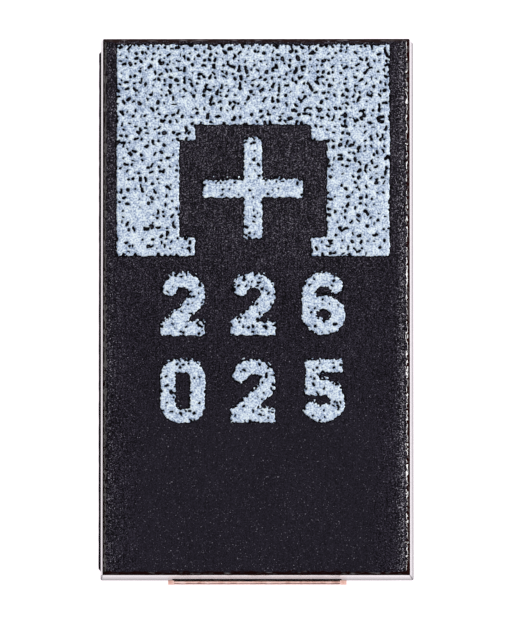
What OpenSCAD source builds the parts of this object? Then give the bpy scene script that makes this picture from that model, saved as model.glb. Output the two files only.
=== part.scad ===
// Surface-mount tantalum capacitor, 7343 case size, with folded terminals.
// X runs across the case, Y along it with the anode end at +Y, and Z up from
// the board. The origin lies on the board plane, under the middle of the case.
// Lengths are in millimetres and angles in degrees.

/* [Case] */
// Length of the moulded case at its parting line
case_length = 7.34; // [6.8:0.02:8.2]
// Width of the case at its parting line
case_width = 4.26; // [3.9:0.02:5.2]
// Height of the top face above the board
case_height = 2.8; // [2.6:0.05:3.4]
// Height of the parting line above the board
parting_height = 1.4; // [1.25:0.01:1.6]
// Lean of the walls above the parting line
upper_draft = 3; // [0:0.5:7]
// Lean of the walls below the parting line
lower_draft = 3; // [0:0.5:7]
// Rounding of the edges round the top face and the belly
edge_radius = 0.08; // [0.02:0.01:0.12]
// Width cut off each upright corner, measured along a wall
corner_chamfer = 0.02; // [0.01:0.01:0.2]
// Gap between the belly and the board
standoff = 0.05; // [0.02:0.01:0.1]
// Reach of the flash that the mould leaves along one side
flash_width = 0.03; // [0.01:0.01:0.08]
// Thickness of that flash
flash_thickness = 0.02; // [0.01:0.01:0.05]
// Distance from each end of the case to the flash
flash_setback = 0.12; // [0.08:0.01:0.4]
// Width of the flat that the mould leaves over each terminal
exit_flat_width = 2.3; // [2.28:0.01:2.6]
// Depth of that flat below the drafted end wall, at the parting line
exit_flat_depth = 0.02; // [0.01:0.005:0.05]

/* [Terminals] */
// Thickness of the lead frame strip
lead_thickness = 0.1; // [0.08:0.01:0.15]
// Inner radius of every bend in the strip
bend_radius = 0.05; // [0.03:0.01:0.1]
// Reach of a folded terminal beyond the parting line
lead_overhang = 0.06; // [0.04:0.01:0.12]
// Width of the strip where it leaves the case
neck_width = 2.26; // [1.6:0.02:2.28]
// Width of the leg and the foot outside the case
foot_width = 2.44; // [2.3:0.02:2.8]
// Length of the foot along the board, bend included
foot_length = 1.3; // [1:0.05:1.6]
// Depth of the leg's shoulders below the parting line
shoulder_drop = 0.2; // [0.18:0.01:0.4]
// Height over which the shoulders widen from the neck to the foot's width
shoulder_height = 0.12; // [0.05:0.01:0.2]
// Depth that the neck reaches into the case
neck_depth = 0.32; // [0.25:0.01:0.36]
// Clearance between a folded terminal and the case round it
fold_gap = 0.02; // [0.01:0.01:0.05]

/* [Capacitor element] */
// Resin beside the element
side_cover = 0.42; // [0.35:0.01:0.6]
// Resin above the element
top_cover = 0.3; // [0.2:0.01:0.45]
// Resin between the belly and the cathode plate
belly_cover = 0.43; // [0.3:0.01:0.5]
// Resin between the cathode end wall and the cathode lead's riser
cathode_cover = 0.5; // [0.46:0.01:0.7]
// Rounding of the element's long edges
pellet_edge_radius = 0.15; // [0.05:0.01:0.3]
// Thickness of the conductive polymer coat
polymer_thickness = 0.04; // [0.02:0.005:0.06]
// Thickness of the graphite coat
graphite_thickness = 0.02; // [0.01:0.005:0.03]
// Thickness of the silver paint coat
silver_thickness = 0.03; // [0.02:0.005:0.05]
// Bare margin between the graphite and the anode face
graphite_setback = 0.15; // [0.1:0.01:0.3]
// Further margin between the silver and the graphite's edge
silver_setback = 0.15; // [0.05:0.01:0.3]

/* [Anode wire] */
// Diameter of the tantalum wire
wire_diameter = 0.4; // [0.3:0.02:0.5]
// Length of wire pressed into the pellet
wire_depth = 3.1; // [2:0.1:3.6]
// Outer diameter of the insulating washer
washer_diameter = 1; // [0.8:0.05:1.3]
// Thickness of the washer
washer_thickness = 0.15; // [0.1:0.01:0.2]
// Free wire between the washer and the anode tab
wire_gap = 0.4; // [0.3:0.02:0.6]
// Length of wire welded to the tab
weld_length = 0.7; // [0.5:0.02:0.9]
// Depth of the flat that the weld presses into the wire
weld_flat = 0.04; // [0.02:0.01:0.06]
// Resin between the wire's end and the anode end wall
wire_end_cover = 0.45; // [0.4:0.01:0.6]
// Width of the anode tab
tab_width = 1.2; // [0.8:0.05:1.6]

/* [Cathode joint] */
// Width of the plate that carries the element
plate_width = 2.5; // [2.2:0.05:2.8]
// Length of that plate along the element
plate_length = 2.8; // [2:0.1:3.4]
// Thickness of the silver-filled adhesive
adhesive_thickness = 0.04; // [0.03:0.005:0.08]
// Bare margin of the plate round the adhesive
adhesive_margin = 0.2; // [0.1:0.01:0.4]
// Height that the adhesive climbs between the riser and the element
adhesive_climb = 0.5; // [0.3:0.02:0.6]

/* [Marking] */
// Thickness of the marking ink
ink_thickness = 0.015; // [0.01:0.005:0.03]
// Bare flat on each side of the polarity band
band_side_margin = 0.152; // [0.1:0.001:0.25]
// Bare flat between the band and the anode end
band_end_margin = 0.002; // [0.002:0.001:0.1]
// Length of the band along the case, legs included
band_length = 2.84; // [2.5:0.02:3.2]
// Sideways slip of the print
print_slip = -0.042; // [-0.08:0.002:0.08]
// Depth of solid band above the window
band_crown = 1.074; // [0.9:0.002:1.2]
// Width of the window between the band's legs
window_width = 1.984; // [1.7:0.002:2.1]
// Width of the notch in each corner of the window
notch_width = 0.21; // [0.1:0.01:0.3]
// Depth of the two notches next to the crown
crown_notch_depth = 0.21; // [0.1:0.01:0.3]
// Depth of the two notches at the window's open side
foot_notch_depth = 0.25; // [0.1:0.01:0.35]
// Span of each arm pair of the plus sign
plus_span = 1.35; // [1:0.01:1.5]
// Width of the plus sign's bars
plus_bar = 0.24; // [0.15:0.005:0.35]
// Distance from the crown to the middle of the plus sign
plus_drop = 0.86; // [0.8:0.01:0.95]

/* [Hidden] */

// facets in each rounded edge and each bend
edge_steps = 4;
bend_steps = 6;
// facets of the wire and the washer
$fn = 64;
// length that a cut runs on past the surface it opens
overcut = 1;

// heights above the board
lead_middle = parting_height - lead_thickness / 2;
wire_height = parting_height + wire_diameter / 2 - weld_flat;
plate_bottom = standoff + belly_cover;
plate_top = plate_bottom + lead_thickness;
element_bottom = plate_top + adhesive_thickness;
element_top = case_height - top_cover;

// distances from the middle of the case towards an end, along Y
end_wall = case_length / 2;
leg_outside = end_wall + lead_overhang;
pocket_wall = leg_outside - lead_thickness - bend_radius - fold_gap;
foot_tip = leg_outside - foot_length;
neck_end = end_wall - neck_depth;
wire_tip = end_wall - wire_end_cover;
tab_tip = wire_tip - weld_length;
washer_front = tab_tip - wire_gap;
pellet_front = washer_front - washer_thickness;
riser_middle = end_wall - cathode_cover - lead_thickness / 2;
riser_inside = riser_middle - lead_thickness / 2;
element_back = riser_inside - adhesive_thickness;
plate_tip = riser_middle - plate_length;

// height that parts the strip inside the case from the foot under it
foot_ceiling = (lead_thickness + fold_gap + plate_bottom) / 2;

// coats, counted outwards from the pellet
polymer_outside = polymer_thickness;
graphite_outside = polymer_outside + graphite_thickness;
silver_outside = graphite_outside + silver_thickness;

// the pellet is what the coats leave of the element
pellet_width = case_width - 2 * (side_cover + silver_outside);
pellet_bottom = element_bottom + silver_outside;
pellet_top = element_top - silver_outside;
pellet_back = element_back - silver_outside;

// the flat of the top face, inside its rounded edges, and the print on it
flat_inset = (case_height - parting_height) * tan(upper_draft)
    + edge_radius * tan(45 - upper_draft / 2);
band_width = case_width - 2 * (flat_inset + band_side_margin);
band_end = end_wall - flat_inset - band_end_margin;

function unit(v) = v / norm(v);
function left_of(v) = [-v[1], v[0]];
function turned(v, angle) = [
    v[0] * cos(angle) - v[1] * sin(angle),
    v[0] * sin(angle) + v[1] * cos(angle)
];
function reversed(list) = [for (i = [len(list) - 1 : -1 : 0]) list[i]];
function arc(centre, radius, from, to, steps) = [
    for (i = [0 : steps]) let (a = from + (to - from) * i / steps)
        centre + radius * [cos(a), sin(a)]
];

// One side of a bend at point b of a strip that comes from a and goes on to c.
function bend_side(a, b, c, radius, offset) =
    let (
        along = unit(b - a),
        next = unit(c - b),
        turn = atan2(along[0] * next[1] - along[1] * next[0], along * next),
        side = sign(turn),
        start = b - along * radius * tan(abs(turn) / 2),
        centre = start + left_of(along) * side * radius,
        reach = radius - side * offset
    ) [
        for (i = [0 : bend_steps])
            centre - turned(left_of(along) * side, turn * i / bend_steps) * reach
    ];

// One side of a bent strip: offset is positive to the left of its middle line.
function strip_side(path, radius, offset) =
    let (last = len(path) - 1) concat(
        [path[0] + left_of(unit(path[1] - path[0])) * offset],
        [
            for (i = [1 : last - 1])
                each bend_side(path[i - 1], path[i], path[i + 1], radius, offset)
        ],
        [path[last] + left_of(unit(path[last] - path[last - 1])) * offset]
    );

// Outline of a strip bent along the corners of its middle line.
function strip_outline(path) =
    let (radius = bend_radius + lead_thickness / 2, half = lead_thickness / 2)
    concat(strip_side(path, radius, half), reversed(strip_side(path, radius, -half)));

// Cross-section of the case: it is widest at the parting line, and its walls
// lean in from there. spread turns the draft of a wall into that of a corner.
function case_section(half_span, spread) =
    let (
        upper_slope = tan(upper_draft) * spread,
        lower_slope = tan(lower_draft) * spread,
        upper_lean = atan(upper_slope),
        lower_lean = atan(lower_slope),
        top_x = half_span - (case_height - parting_height) * upper_slope
            - edge_radius * tan(45 - upper_lean / 2),
        belly_x = half_span - (parting_height - standoff) * lower_slope
            - edge_radius * tan(45 - lower_lean / 2),
        right_side = concat(
            arc([belly_x, standoff + edge_radius], edge_radius, -90, -lower_lean, edge_steps),
            [[half_span, parting_height]],
            arc([top_x, case_height - edge_radius], edge_radius, upper_lean, 90, edge_steps)
        )
    ) concat(right_side, reversed([for (p = right_side) [-p[0], p[1]]]));

function rounded_box(width, height, radius) = [
    for (corner = [[1, 1, 0], [-1, 1, 90], [-1, -1, 180], [1, -1, 270]])
        each arc(
            [corner[0] * (width / 2 - radius), corner[1] * (height / 2 - radius)],
            radius, corner[2], corner[2] + 90, edge_steps
        )
];

// An outline drawn in the YZ plane, made width wide across X.
module across(width) {
    rotate([90, 0, 90]) linear_extrude(width, center = true) children();
}

// A box from low to high, given by two opposite corners.
module block(low, high) {
    translate(low) cube(high - low);
}

// Four drafted prisms meet in the case: two give the walls, two the corners.
module case_body() {
    corner_span = (case_length + case_width) / 2 - corner_chamfer;
    intersection() {
        case_prism(case_width / 2, 1, 0);
        case_prism(case_length / 2, 1, 90);
        case_prism(corner_span / sqrt(2), sqrt(2), 45);
        case_prism(corner_span / sqrt(2), sqrt(2), -45);
    }
}

module case_prism(half_span, spread, heading) {
    rotate([0, 0, heading]) rotate([90, 0, 0])
        linear_extrude(case_length + case_width, center = true)
            polygon(case_section(half_span, spread));
}

// Thin fin of resin that squeezed out between the mould halves.
module flash() {
    root = case_width / 2 - corner_chamfer;
    tip = case_width / 2 + flash_width;
    long_half = end_wall - flash_setback;
    short_half = long_half - 2 * flash_width;
    translate([0, 0, parting_height - flash_thickness / 2])
        linear_extrude(flash_thickness)
            polygon([
                [-root, long_half], [-tip, short_half],
                [-tip, -short_half], [-root, -long_half]
            ]);
}

// Room that the case leaves for a folded terminal: a pocket for the leg in the
// end wall and a recess for the foot in the belly.
module terminal_room() {
    half = foot_width / 2 + fold_gap;
    block([-half, pocket_wall, -overcut], [half, end_wall + overcut, parting_height]);
    block(
        [-half, foot_tip - fold_gap, -overcut],
        [half, end_wall + overcut, lead_thickness + fold_gap]
    );
}

// Upright flat in the drafted end wall, over the place where a terminal leaves it.
module exit_flat() {
    block(
        [-exit_flat_width / 2, end_wall - exit_flat_depth, parting_height],
        [exit_flat_width / 2, end_wall + overcut, case_height + overcut]
    );
}

module case() {
    color([0.15, 0.14, 0.16]) difference() {
        union() {
            case_body();
            flash();
        }
        for (side = [0, 1]) mirror([0, side, 0]) {
            terminal_room();
            exit_flat();
        }
        anode_lead();
        cathode_lead();
        wire_form();
        washer_form();
        element_form(polymer_outside, pellet_front + polymer_outside);
        element_form(graphite_outside, pellet_front - graphite_setback);
        element_form(silver_outside, pellet_front - graphite_setback - silver_setback);
        silver_adhesive();
    }
}

// A folded strip of the lead frame at the +Y end. Inside the case it is
// inner_width wide, and from the end wall on it is trimmed to leg_form.
module lead(path, inner_width) {
    intersection() {
        across(inner_width) polygon(strip_outline(path));
        block([-inner_width, -case_length, foot_ceiling], [inner_width, neck_end, case_height]);
    }
    intersection() {
        across(foot_width) polygon(strip_outline(path));
        union() {
            leg_form();
            block([-foot_width, 0, -overcut], [foot_width, case_length, foot_ceiling]);
        }
    }
}

// Front view of a leg, run along the case from inside the end wall outwards:
// a neck where it leaves the resin, then shoulders that widen to the foot.
module leg_form() {
    shoulder = parting_height - shoulder_drop;
    right_side = [
        [foot_width / 2, -overcut],
        [foot_width / 2, shoulder - shoulder_height],
        [neck_width / 2, shoulder],
        [neck_width / 2, case_height]
    ];
    translate([0, case_length, 0]) rotate([90, 0, 0])
        linear_extrude(case_length - neck_end)
            polygon(concat(right_side, reversed([for (p = right_side) [-p[0], p[1]]])));
}

// Middle line of the folded end, from the end wall down and under the belly.
fold_path = [
    [leg_outside - lead_thickness / 2, lead_middle],
    [leg_outside - lead_thickness / 2, lead_thickness / 2],
    [foot_tip, lead_thickness / 2]
];

module anode_lead() {
    color([0.85, 0.56, 0.44])
        lead(concat([[tab_tip, lead_middle]], fold_path), tab_width);
}

module cathode_lead() {
    plate_middle = plate_bottom + lead_thickness / 2;
    inner_path = [
        [plate_tip, plate_middle],
        [riser_middle, plate_middle],
        [riser_middle, lead_middle]
    ];
    color([0.85, 0.56, 0.44])
        mirror([0, 1, 0]) lead(concat(inner_path, fold_path), plate_width);
}

// The element grown by one or more coats, from behind the cathode face to front.
module element_form(growth, front) {
    width = pellet_width + 2 * growth;
    height = pellet_top - pellet_bottom + 2 * growth;
    back = -pellet_back - growth;
    translate([0, front, (pellet_top + pellet_bottom) / 2])
        rotate([90, 0, 0]) linear_extrude(front - back)
            polygon(rounded_box(width, height, pellet_edge_radius + growth));
}

module wire_form() {
    difference() {
        translate([0, wire_tip, wire_height]) rotate([90, 0, 0])
            cylinder(h = wire_tip - pellet_front + wire_depth, d = wire_diameter);
        block(
            [-wire_diameter, tab_tip, parting_height - wire_diameter],
            [wire_diameter, end_wall, parting_height]
        );
    }
}

module washer_form() {
    translate([0, washer_front, wire_height]) rotate([90, 0, 0])
        cylinder(h = washer_thickness, d = washer_diameter);
}

module tantalum_pellet() {
    color([0.34, 0.34, 0.37]) difference() {
        element_form(0, pellet_front);
        wire_form();
    }
}

module anode_wire() {
    color([0.6, 0.61, 0.64]) wire_form();
}

module insulating_washer() {
    color([0.93, 0.93, 0.9]) difference() {
        washer_form();
        wire_form();
    }
}

module polymer_coat() {
    color([0.1, 0.12, 0.2]) difference() {
        element_form(polymer_outside, pellet_front + polymer_outside);
        element_form(0, pellet_front);
        washer_form();
    }
}

module graphite_coat() {
    color([0.2, 0.2, 0.21]) difference() {
        element_form(graphite_outside, pellet_front - graphite_setback);
        element_form(polymer_outside, pellet_front + polymer_outside);
    }
}

module silver_coat() {
    color([0.78, 0.78, 0.8]) difference() {
        element_form(silver_outside, pellet_front - graphite_setback - silver_setback);
        element_form(graphite_outside, pellet_front - graphite_setback);
    }
}

module silver_adhesive() {
    half = plate_width / 2 - adhesive_margin;
    color([0.66, 0.66, 0.68]) difference() {
        block(
            [-half, -riser_middle, plate_top - lead_thickness / 2],
            [half, -plate_tip - adhesive_margin, plate_top + adhesive_climb]
        );
        cathode_lead();
        element_form(silver_outside, pellet_front - graphite_setback - silver_setback);
    }
}

// Inverted U of ink at the anode end, with a notch in each corner of its window.
module polarity_band() {
    half = band_width / 2;
    wide = window_width / 2;
    narrow = wide - notch_width;
    crown = band_end - band_crown;
    tips = band_end - band_length;
    right_side = [
        [half, band_end], [half, tips], [narrow, tips],
        [narrow, tips + foot_notch_depth], [wide, tips + foot_notch_depth],
        [wide, crown - crown_notch_depth], [narrow, crown - crown_notch_depth],
        [narrow, crown]
    ];
    left_side = reversed([for (p = right_side) [-p[0], p[1]]]);
    color([0.77, 0.82, 0.88]) translate([print_slip, 0, case_height])
        linear_extrude(ink_thickness) polygon(concat(right_side, left_side));
}

module plus_sign() {
    color([0.77, 0.82, 0.88])
        translate([print_slip, band_end - band_crown - plus_drop, case_height])
            linear_extrude(ink_thickness) union() {
                square([plus_span, plus_bar], center = true);
                square([plus_bar, plus_span], center = true);
            }
}

case();
anode_lead();
cathode_lead();
tantalum_pellet();
anode_wire();
insulating_washer();
polymer_coat();
graphite_coat();
silver_coat();
silver_adhesive();
polarity_band();
plus_sign();
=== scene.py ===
import math

import bpy
import numpy as np
from mathutils import Matrix, Vector, noise


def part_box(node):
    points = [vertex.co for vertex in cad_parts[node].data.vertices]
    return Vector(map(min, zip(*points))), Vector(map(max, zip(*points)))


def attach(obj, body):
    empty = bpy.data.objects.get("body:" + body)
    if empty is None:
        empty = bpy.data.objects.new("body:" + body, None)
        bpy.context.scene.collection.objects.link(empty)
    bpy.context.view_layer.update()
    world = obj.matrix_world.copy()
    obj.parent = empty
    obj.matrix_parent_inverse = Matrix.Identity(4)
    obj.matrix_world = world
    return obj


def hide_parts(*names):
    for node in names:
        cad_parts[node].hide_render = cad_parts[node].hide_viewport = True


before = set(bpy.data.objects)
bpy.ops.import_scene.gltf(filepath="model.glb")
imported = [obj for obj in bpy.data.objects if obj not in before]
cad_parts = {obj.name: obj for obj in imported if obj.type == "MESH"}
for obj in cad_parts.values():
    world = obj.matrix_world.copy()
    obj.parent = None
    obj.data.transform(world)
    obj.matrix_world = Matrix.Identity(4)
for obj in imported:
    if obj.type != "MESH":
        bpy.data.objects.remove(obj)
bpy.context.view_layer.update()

# Lengths in this script are in millimetres, and meshes are scaled down as they are finished.
metresPerMm = 0.001
print("frame loaded:", len(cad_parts), "solids")


def toLinear(hexColour):
    channels = [int(hexColour[i:i + 2], 16) / 255 for i in (1, 3, 5)]
    linear = [c / 12.92 if c <= 0.04045 else ((c + 0.055) / 1.055) ** 2.4 for c in channels]
    return (*linear, 1.0)


def addNode(tree, kind, settings=None, inputs=None, output=0):
    # settings are a dictionary, or just the operation; inputs a list in the node's own order, or a
    # dictionary. Gives one output, or the node itself for None.
    node = tree.nodes.new(kind)
    if isinstance(settings, str):
        settings = {"operation": settings}
    for name, value in (settings or {}).items():
        setattr(node, name, value)
    pairs = inputs.items() if isinstance(inputs, dict) else enumerate(inputs or [])
    for name, value in pairs:
        if isinstance(value, bpy.types.NodeSocket):
            tree.links.new(value, node.inputs[name])
        else:
            node.inputs[name].default_value = value
    return node if output is None else node.outputs[output]


def cadBoxMm(node):
    low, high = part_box(node)
    return low / metresPerMm, high / metresPerMm


def cadLevels(node, axis):
    # the different heights at which a solid has corners, along one axis
    values = {round(v.co[axis] / metresPerMm, 4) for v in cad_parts[node].data.vertices}
    return sorted(values)


caseLow, caseHigh = cadBoxMm("case")
leadHigh = cadBoxMm("anode_lead")[1]
partingHeight = leadHigh.z    # the strip leaves the case with its upper side on the parting line
topFace = caseHigh.z


def addObject(name, data):
    item = bpy.data.objects.new(name, data)
    bpy.context.scene.collection.objects.link(item)
    return item


def startMaterial(name):
    # a material with its shader, and the place on the object in millimetres
    material = bpy.data.materials.new(name)
    material.use_nodes = True
    tree = material.node_tree
    tree.nodes.clear()
    shader = addNode(tree, "ShaderNodeBsdfPrincipled", output=None)
    addNode(tree, "ShaderNodeOutputMaterial", {}, {"Surface": shader.outputs["BSDF"]}, None)
    place = addNode(tree, "ShaderNodeTexCoord", output="Object")
    scaled = addNode(tree, "ShaderNodeVectorMath", "SCALE", {"Vector": place, "Scale": 1 / metresPerMm})
    return material, tree, shader, scaled


def dress(nodeName, material):
    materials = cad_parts[nodeName].data.materials
    materials.clear()
    materials.append(material)


def finishMesh(name, mesh, material, replaced, smoothAngle=40):
    for vertex in mesh.vertices:
        vertex.co *= metresPerMm
    mesh.polygons.foreach_set("use_smooth", [True] * len(mesh.polygons))
    mesh.set_sharp_from_angle(angle=math.radians(smoothAngle))
    mesh.materials.clear()
    mesh.materials.append(material)
    mesh.update()
    piece = addObject(name, mesh)
    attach(piece, "root")
    if replaced:
        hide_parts(*replaced)
    return piece


# The moulded case: two drafted halves that meet at the parting line.
caseShape = {
    "draft": 2.8,             # degrees that each wall leans in, above and below the parting line
    "edgeRadius": 0.075,      # rounding round the top face and the belly
    "arrisFrom": 46,          # degrees above level where the rounding turns into a narrow bevel
    "bevel": 0.0235,          # width of the bevel, which meets the wall at a crisp line
    "cornerChamfer": 0.012,   # width cut off each upright corner
    "step": 0.017,            # spacing of the mesh along the walls
    "witness": 0.003,         # height of the line that the mould halves leave all round
    "flashThickness": 0.02,
    "flashSetback": 0.12,     # distance from each end of the case to the flash
    "flashRun": 0.03,         # length over which the flash grows to its full reach
    "flashRagged": 0.004,     # how far the flash's edge wanders
    "roughness": 0.0095,      # height of the broken grain along the arris
    "rimRoughness": 0.0015,   # and along the rim of the flat
    "chipScale": (12, 32, 22),  # chips for each mm along X, Y and Z
    "bevelShare": 0.12,       # how much of that grain is left on the bevel
    "grainRise": 0.012,       # height above the bevel over which it grows to the full
    "seamTooth": 0.045,       # length of one bright crumb along the arris
    "foldGap": 0.02,          # clearance round a folded terminal
    "bendRadius": 0.05,
    "strip": 0.1,             # thickness of the terminals
    "lipDepth": 0.41,         # the -X wall leans in more over this depth below the arris
    "lipReach": 0.016,        # and stands this far out where it does so
    "exitFlatWidth": 2.3,     # the flat that the mould leaves over each terminal
    "exitFlatDepth": 0.02,
    "bleed": 0.010,           # reach of the resin film that bled on to the terminal
}

halfWidth = caseHigh.x - caseShape["witness"]
halfLength = caseHigh.y - caseShape["witness"]
flashReach = -caseLow.x - halfWidth


def ringPoints(halfX, halfY, chamfer, longCount, shortCount):
    # one closed loop round the case, anticlockwise from the +X side's cathode end
    along = np.linspace(0, 1, longCount)
    across = np.linspace(0, 1, shortCount)
    spanY = (halfY - chamfer) * (2 * along - 1)
    spanX = (halfX - chamfer) * (2 * across - 1)
    right = np.column_stack([np.full(longCount, halfX), spanY])
    anode = np.column_stack([-spanX, np.full(shortCount, halfY)])
    left = np.column_stack([np.full(longCount, -halfX), -spanY])
    cathode = np.column_stack([spanX, np.full(shortCount, -halfY)])
    return np.vstack([right, anode, left, cathode])


def arrisDrop(shape):
    # from the flat down to the crisp line where the bevel meets the wall
    start = math.radians(shape["arrisFrom"])
    return shape["edgeRadius"] * (1 - math.sin(start)) + shape["bevel"] / math.tan(start)


def arrisWidth(shape):
    # from the line where a wall would meet the flat to the flat's own rim
    reach = shape["edgeRadius"] * math.cos(math.radians(shape["arrisFrom"])) + shape["bevel"]
    return reach - arrisDrop(shape) * math.tan(math.radians(shape["draft"]))


def caseStations(shape, bottom, parting, top):
    # (inset from the parting line's outline, height, kind of surface) from belly to top face
    slope = math.tan(math.radians(shape["draft"]))
    radius = shape["edgeRadius"]
    turnIn, drop = arrisWidth(shape), arrisDrop(shape)
    lowerInset = (parting - bottom) * slope
    upperInset = (top - parting) * slope
    stations = []
    for inset in (0.3, 0.12, 0.04, 0.012):
        stations.append((lowerInset + turnIn + inset, bottom, "flat"))
    for angle in np.linspace(-90, -shape["arrisFrom"], 7):
        a = math.radians(angle)
        stations.append((lowerInset + turnIn - radius * math.cos(a),
                         bottom + radius + radius * math.sin(a), "arris"))
    stations.append((lowerInset - drop * slope, bottom + drop, "arris"))
    for height in np.linspace(bottom + 0.1, parting - 0.05, 4):
        stations.append(((parting - height) * slope, height, "wall"))
    root = shape["flashThickness"] / 2
    tip = 0.6 * root
    for rise in (-root, -tip, tip, root):
        kind = "flashTip" if abs(rise) == tip else "flashRoot"
        stations.append((abs(rise) * slope, parting + rise, kind))
    lip = top - drop - shape["lipDepth"]
    for height in (parting + 0.05, parting + 0.4, lip - 0.03, lip, lip + 0.03, top - 0.1):
        stations.append(((height - parting) * slope, height, "wall"))
    stations.append((upperInset - drop * slope, top - drop, "arris"))
    for angle in np.linspace(shape["arrisFrom"], 90, 11):
        a = math.radians(angle)
        stations.append((upperInset + turnIn - radius * math.cos(a),
                         top - radius + radius * math.sin(a), "arris"))
    for inset in (0.008, 0.016, 0.024, 0.032, 0.042, 0.055, 0.08, 0.12):
        stations.append((upperInset + turnIn + inset, top, "rim" if inset < 0.05 else "flat"))
    return stations


def crumbs(point, length, seed):
    # broken grain: 0 in the gaps, up to 1 on a crumb
    value = noise.noise(Vector((point[0] / length, point[1] / length, seed)))
    return min(1.0, max(0.0, value * 2.2 + 0.15))


def lipShare(z, lipHeight, arrisStart):
    # 1 where the wall's lean changes, and 0 at the parting line, at the arris and below
    return max(0.0, min((z - partingHeight) / (lipHeight - partingHeight),
                        (arrisStart - z) / (arrisStart - lipHeight)))


def chipArris(shape, x, y, z, outX, outY, arrisStart):
    # the bevel stays nearly smooth, and the line where a wall meets it straight
    bevelRise = shape["bevel"] / math.tan(math.radians(shape["arrisFrom"]))
    aboveBevel = max(0.0, abs(z - arrisStart) - bevelRise)
    share = min(1.0, shape["bevelShare"] + aboveBevel / shape["grainRise"])
    scaleX, scaleY, scaleZ = shape["chipScale"]
    chip = noise.noise(Vector((x * scaleX, y * scaleY, z * scaleZ))) * shape["roughness"] * share
    return x + outX * chip, y + outY * chip, min(z + chip, topFace)


def drawFlash(shape, x, y, outX, outY):
    # a fine line all round, ragged flash along the -X side and a film bled on to each terminal
    witness = shape["witness"]
    sideReach = endReach = witness
    if outY != 0 and abs(x) < shape["exitFlatWidth"] / 2:
        endReach = shape["bleed"] * (0.8 + noise.noise(Vector((x * 7, y, 5.1))))
    run = halfLength - abs(y) - shape["flashSetback"]
    if outX < 0 and run > 0:
        ragged = noise.noise(Vector((3.3, y * 9, 1.7))) * shape["flashRagged"]
        sideReach = min(flashReach, flashReach - 0.001 + ragged) * min(1, run / shape["flashRun"])
    return x + outX * max(sideReach, witness), y + outY * max(endReach, witness)


def buildCaseMesh(shape):
    longCount = int(2 * halfLength / shape["step"])
    shortCount = int(2 * halfWidth / shape["step"])
    stations = caseStations(shape, caseLow.z, partingHeight, topFace)
    arrisStart = topFace - arrisDrop(shape)
    lipHeight = arrisStart - shape["lipDepth"]
    ringSize = 2 * (longCount + shortCount)
    vertices = []
    for inset, height, kind in stations:
        # the cut corners get narrower where the ring draws in over the flat
        chamfer = max(0.004, shape["cornerChamfer"] - 0.586 * max(0.0, inset - 0.1))
        ring = ringPoints(halfWidth - inset, halfLength - inset, chamfer, longCount, shortCount)
        for x, y in ring:
            z = height
            outX = math.copysign(1, x) if abs(x) > halfWidth - inset - 1e-6 else 0
            outY = math.copysign(1, y) if abs(y) > halfLength - inset - 1e-6 else 0
            if kind == "wall" and outX < 0:
                x -= shape["lipReach"] * lipShare(z, lipHeight, arrisStart)
            elif kind == "arris":
                x, y, z = chipArris(shape, x, y, z, outX, outY, arrisStart)
            elif kind == "rim":
                z -= shape["rimRoughness"] * (1 - crumbs((x * 0.4, y), shape["seamTooth"], inset * 60))
            elif kind == "flashTip":
                x, y = drawFlash(shape, x, y, outX, outY)
            vertices.append((x, y, z))
    faces = []
    for row in range(len(stations) - 1):
        for i in range(ringSize):
            j = (i + 1) % ringSize
            faces.append((row * ringSize + i, row * ringSize + j,
                          (row + 1) * ringSize + j, (row + 1) * ringSize + i))
    faces.append(tuple(reversed(range(ringSize))))
    last = (len(stations) - 1) * ringSize
    faces.append(tuple(range(last, last + ringSize)))
    mesh = bpy.data.meshes.new("mouldedCase")
    mesh.from_pydata(vertices, [], faces)
    return mesh


def boxMesh(low, high):
    (west, south, bottom), (east, north, top) = low, high
    corners = [(x, y, z) for x in (west, east) for y in (south, north) for z in (bottom, top)]
    faces = [(0, 1, 3, 2), (4, 6, 7, 5), (0, 4, 5, 1), (2, 3, 7, 6), (0, 2, 6, 4), (1, 5, 7, 3)]
    mesh = bpy.data.meshes.new("cutter")
    mesh.from_pydata(corners, [], faces)
    return mesh


def cadFootTip(node):
    # where the foot under the belly ends: its innermost corner on the board plane
    ys = [v.co.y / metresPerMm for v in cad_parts[node].data.vertices if v.co.z < 1e-6]
    return min(ys, key=abs)


def roomBoxes(shape):
    # for each terminal the flat over its exit, the pocket for its leg and the recess for its foot
    beyond = 1.0    # the boxes run on past the case, for a clean cut
    outerY = leadHigh.y + beyond
    half, flatHalf = leadHigh.x + shape["foldGap"], shape["exitFlatWidth"] / 2
    flatWall = caseHigh.y - shape["exitFlatDepth"]
    pocketWall = leadHigh.y - shape["strip"] - shape["bendRadius"] - shape["foldGap"]
    recessEnd = cadFootTip("anode_lead") - shape["foldGap"]
    recessTop = shape["strip"] + shape["foldGap"]
    filmTop = partingHeight + 0.6 * shape["flashThickness"]
    rooms = []
    for side in (1, -1):
        flat = sorted((side * flatWall, side * outerY))
        pocket = sorted((side * pocketWall, side * outerY))
        recess = sorted((side * recessEnd, side * outerY))
        rooms.append(boxMesh((-flatHalf, flat[0], filmTop), (flatHalf, flat[1], topFace + beyond)))
        rooms.append(boxMesh((-half, pocket[0], -beyond), (half, pocket[1], partingHeight)))
        rooms.append(boxMesh((-half, recess[0], -beyond), (half, recess[1], recessTop)))
    return rooms


def cutTerminalRooms(mesh, shape):
    body = addObject("caseBlank", mesh)
    helpers = []
    for room in roomBoxes(shape):
        cut = body.modifiers.new("room", "BOOLEAN")
        cut.operation = "DIFFERENCE"
        cut.solver = "EXACT"
        cut.object = addObject("cutter", room)
        helpers.append(cut.object)
    bpy.context.view_layer.update()
    depsgraph = bpy.context.evaluated_depsgraph_get()
    result = bpy.data.meshes.new_from_object(body.evaluated_get(depsgraph))
    for helper in helpers:
        bpy.data.objects.remove(helper)
    bpy.data.objects.remove(body)
    return result


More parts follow.
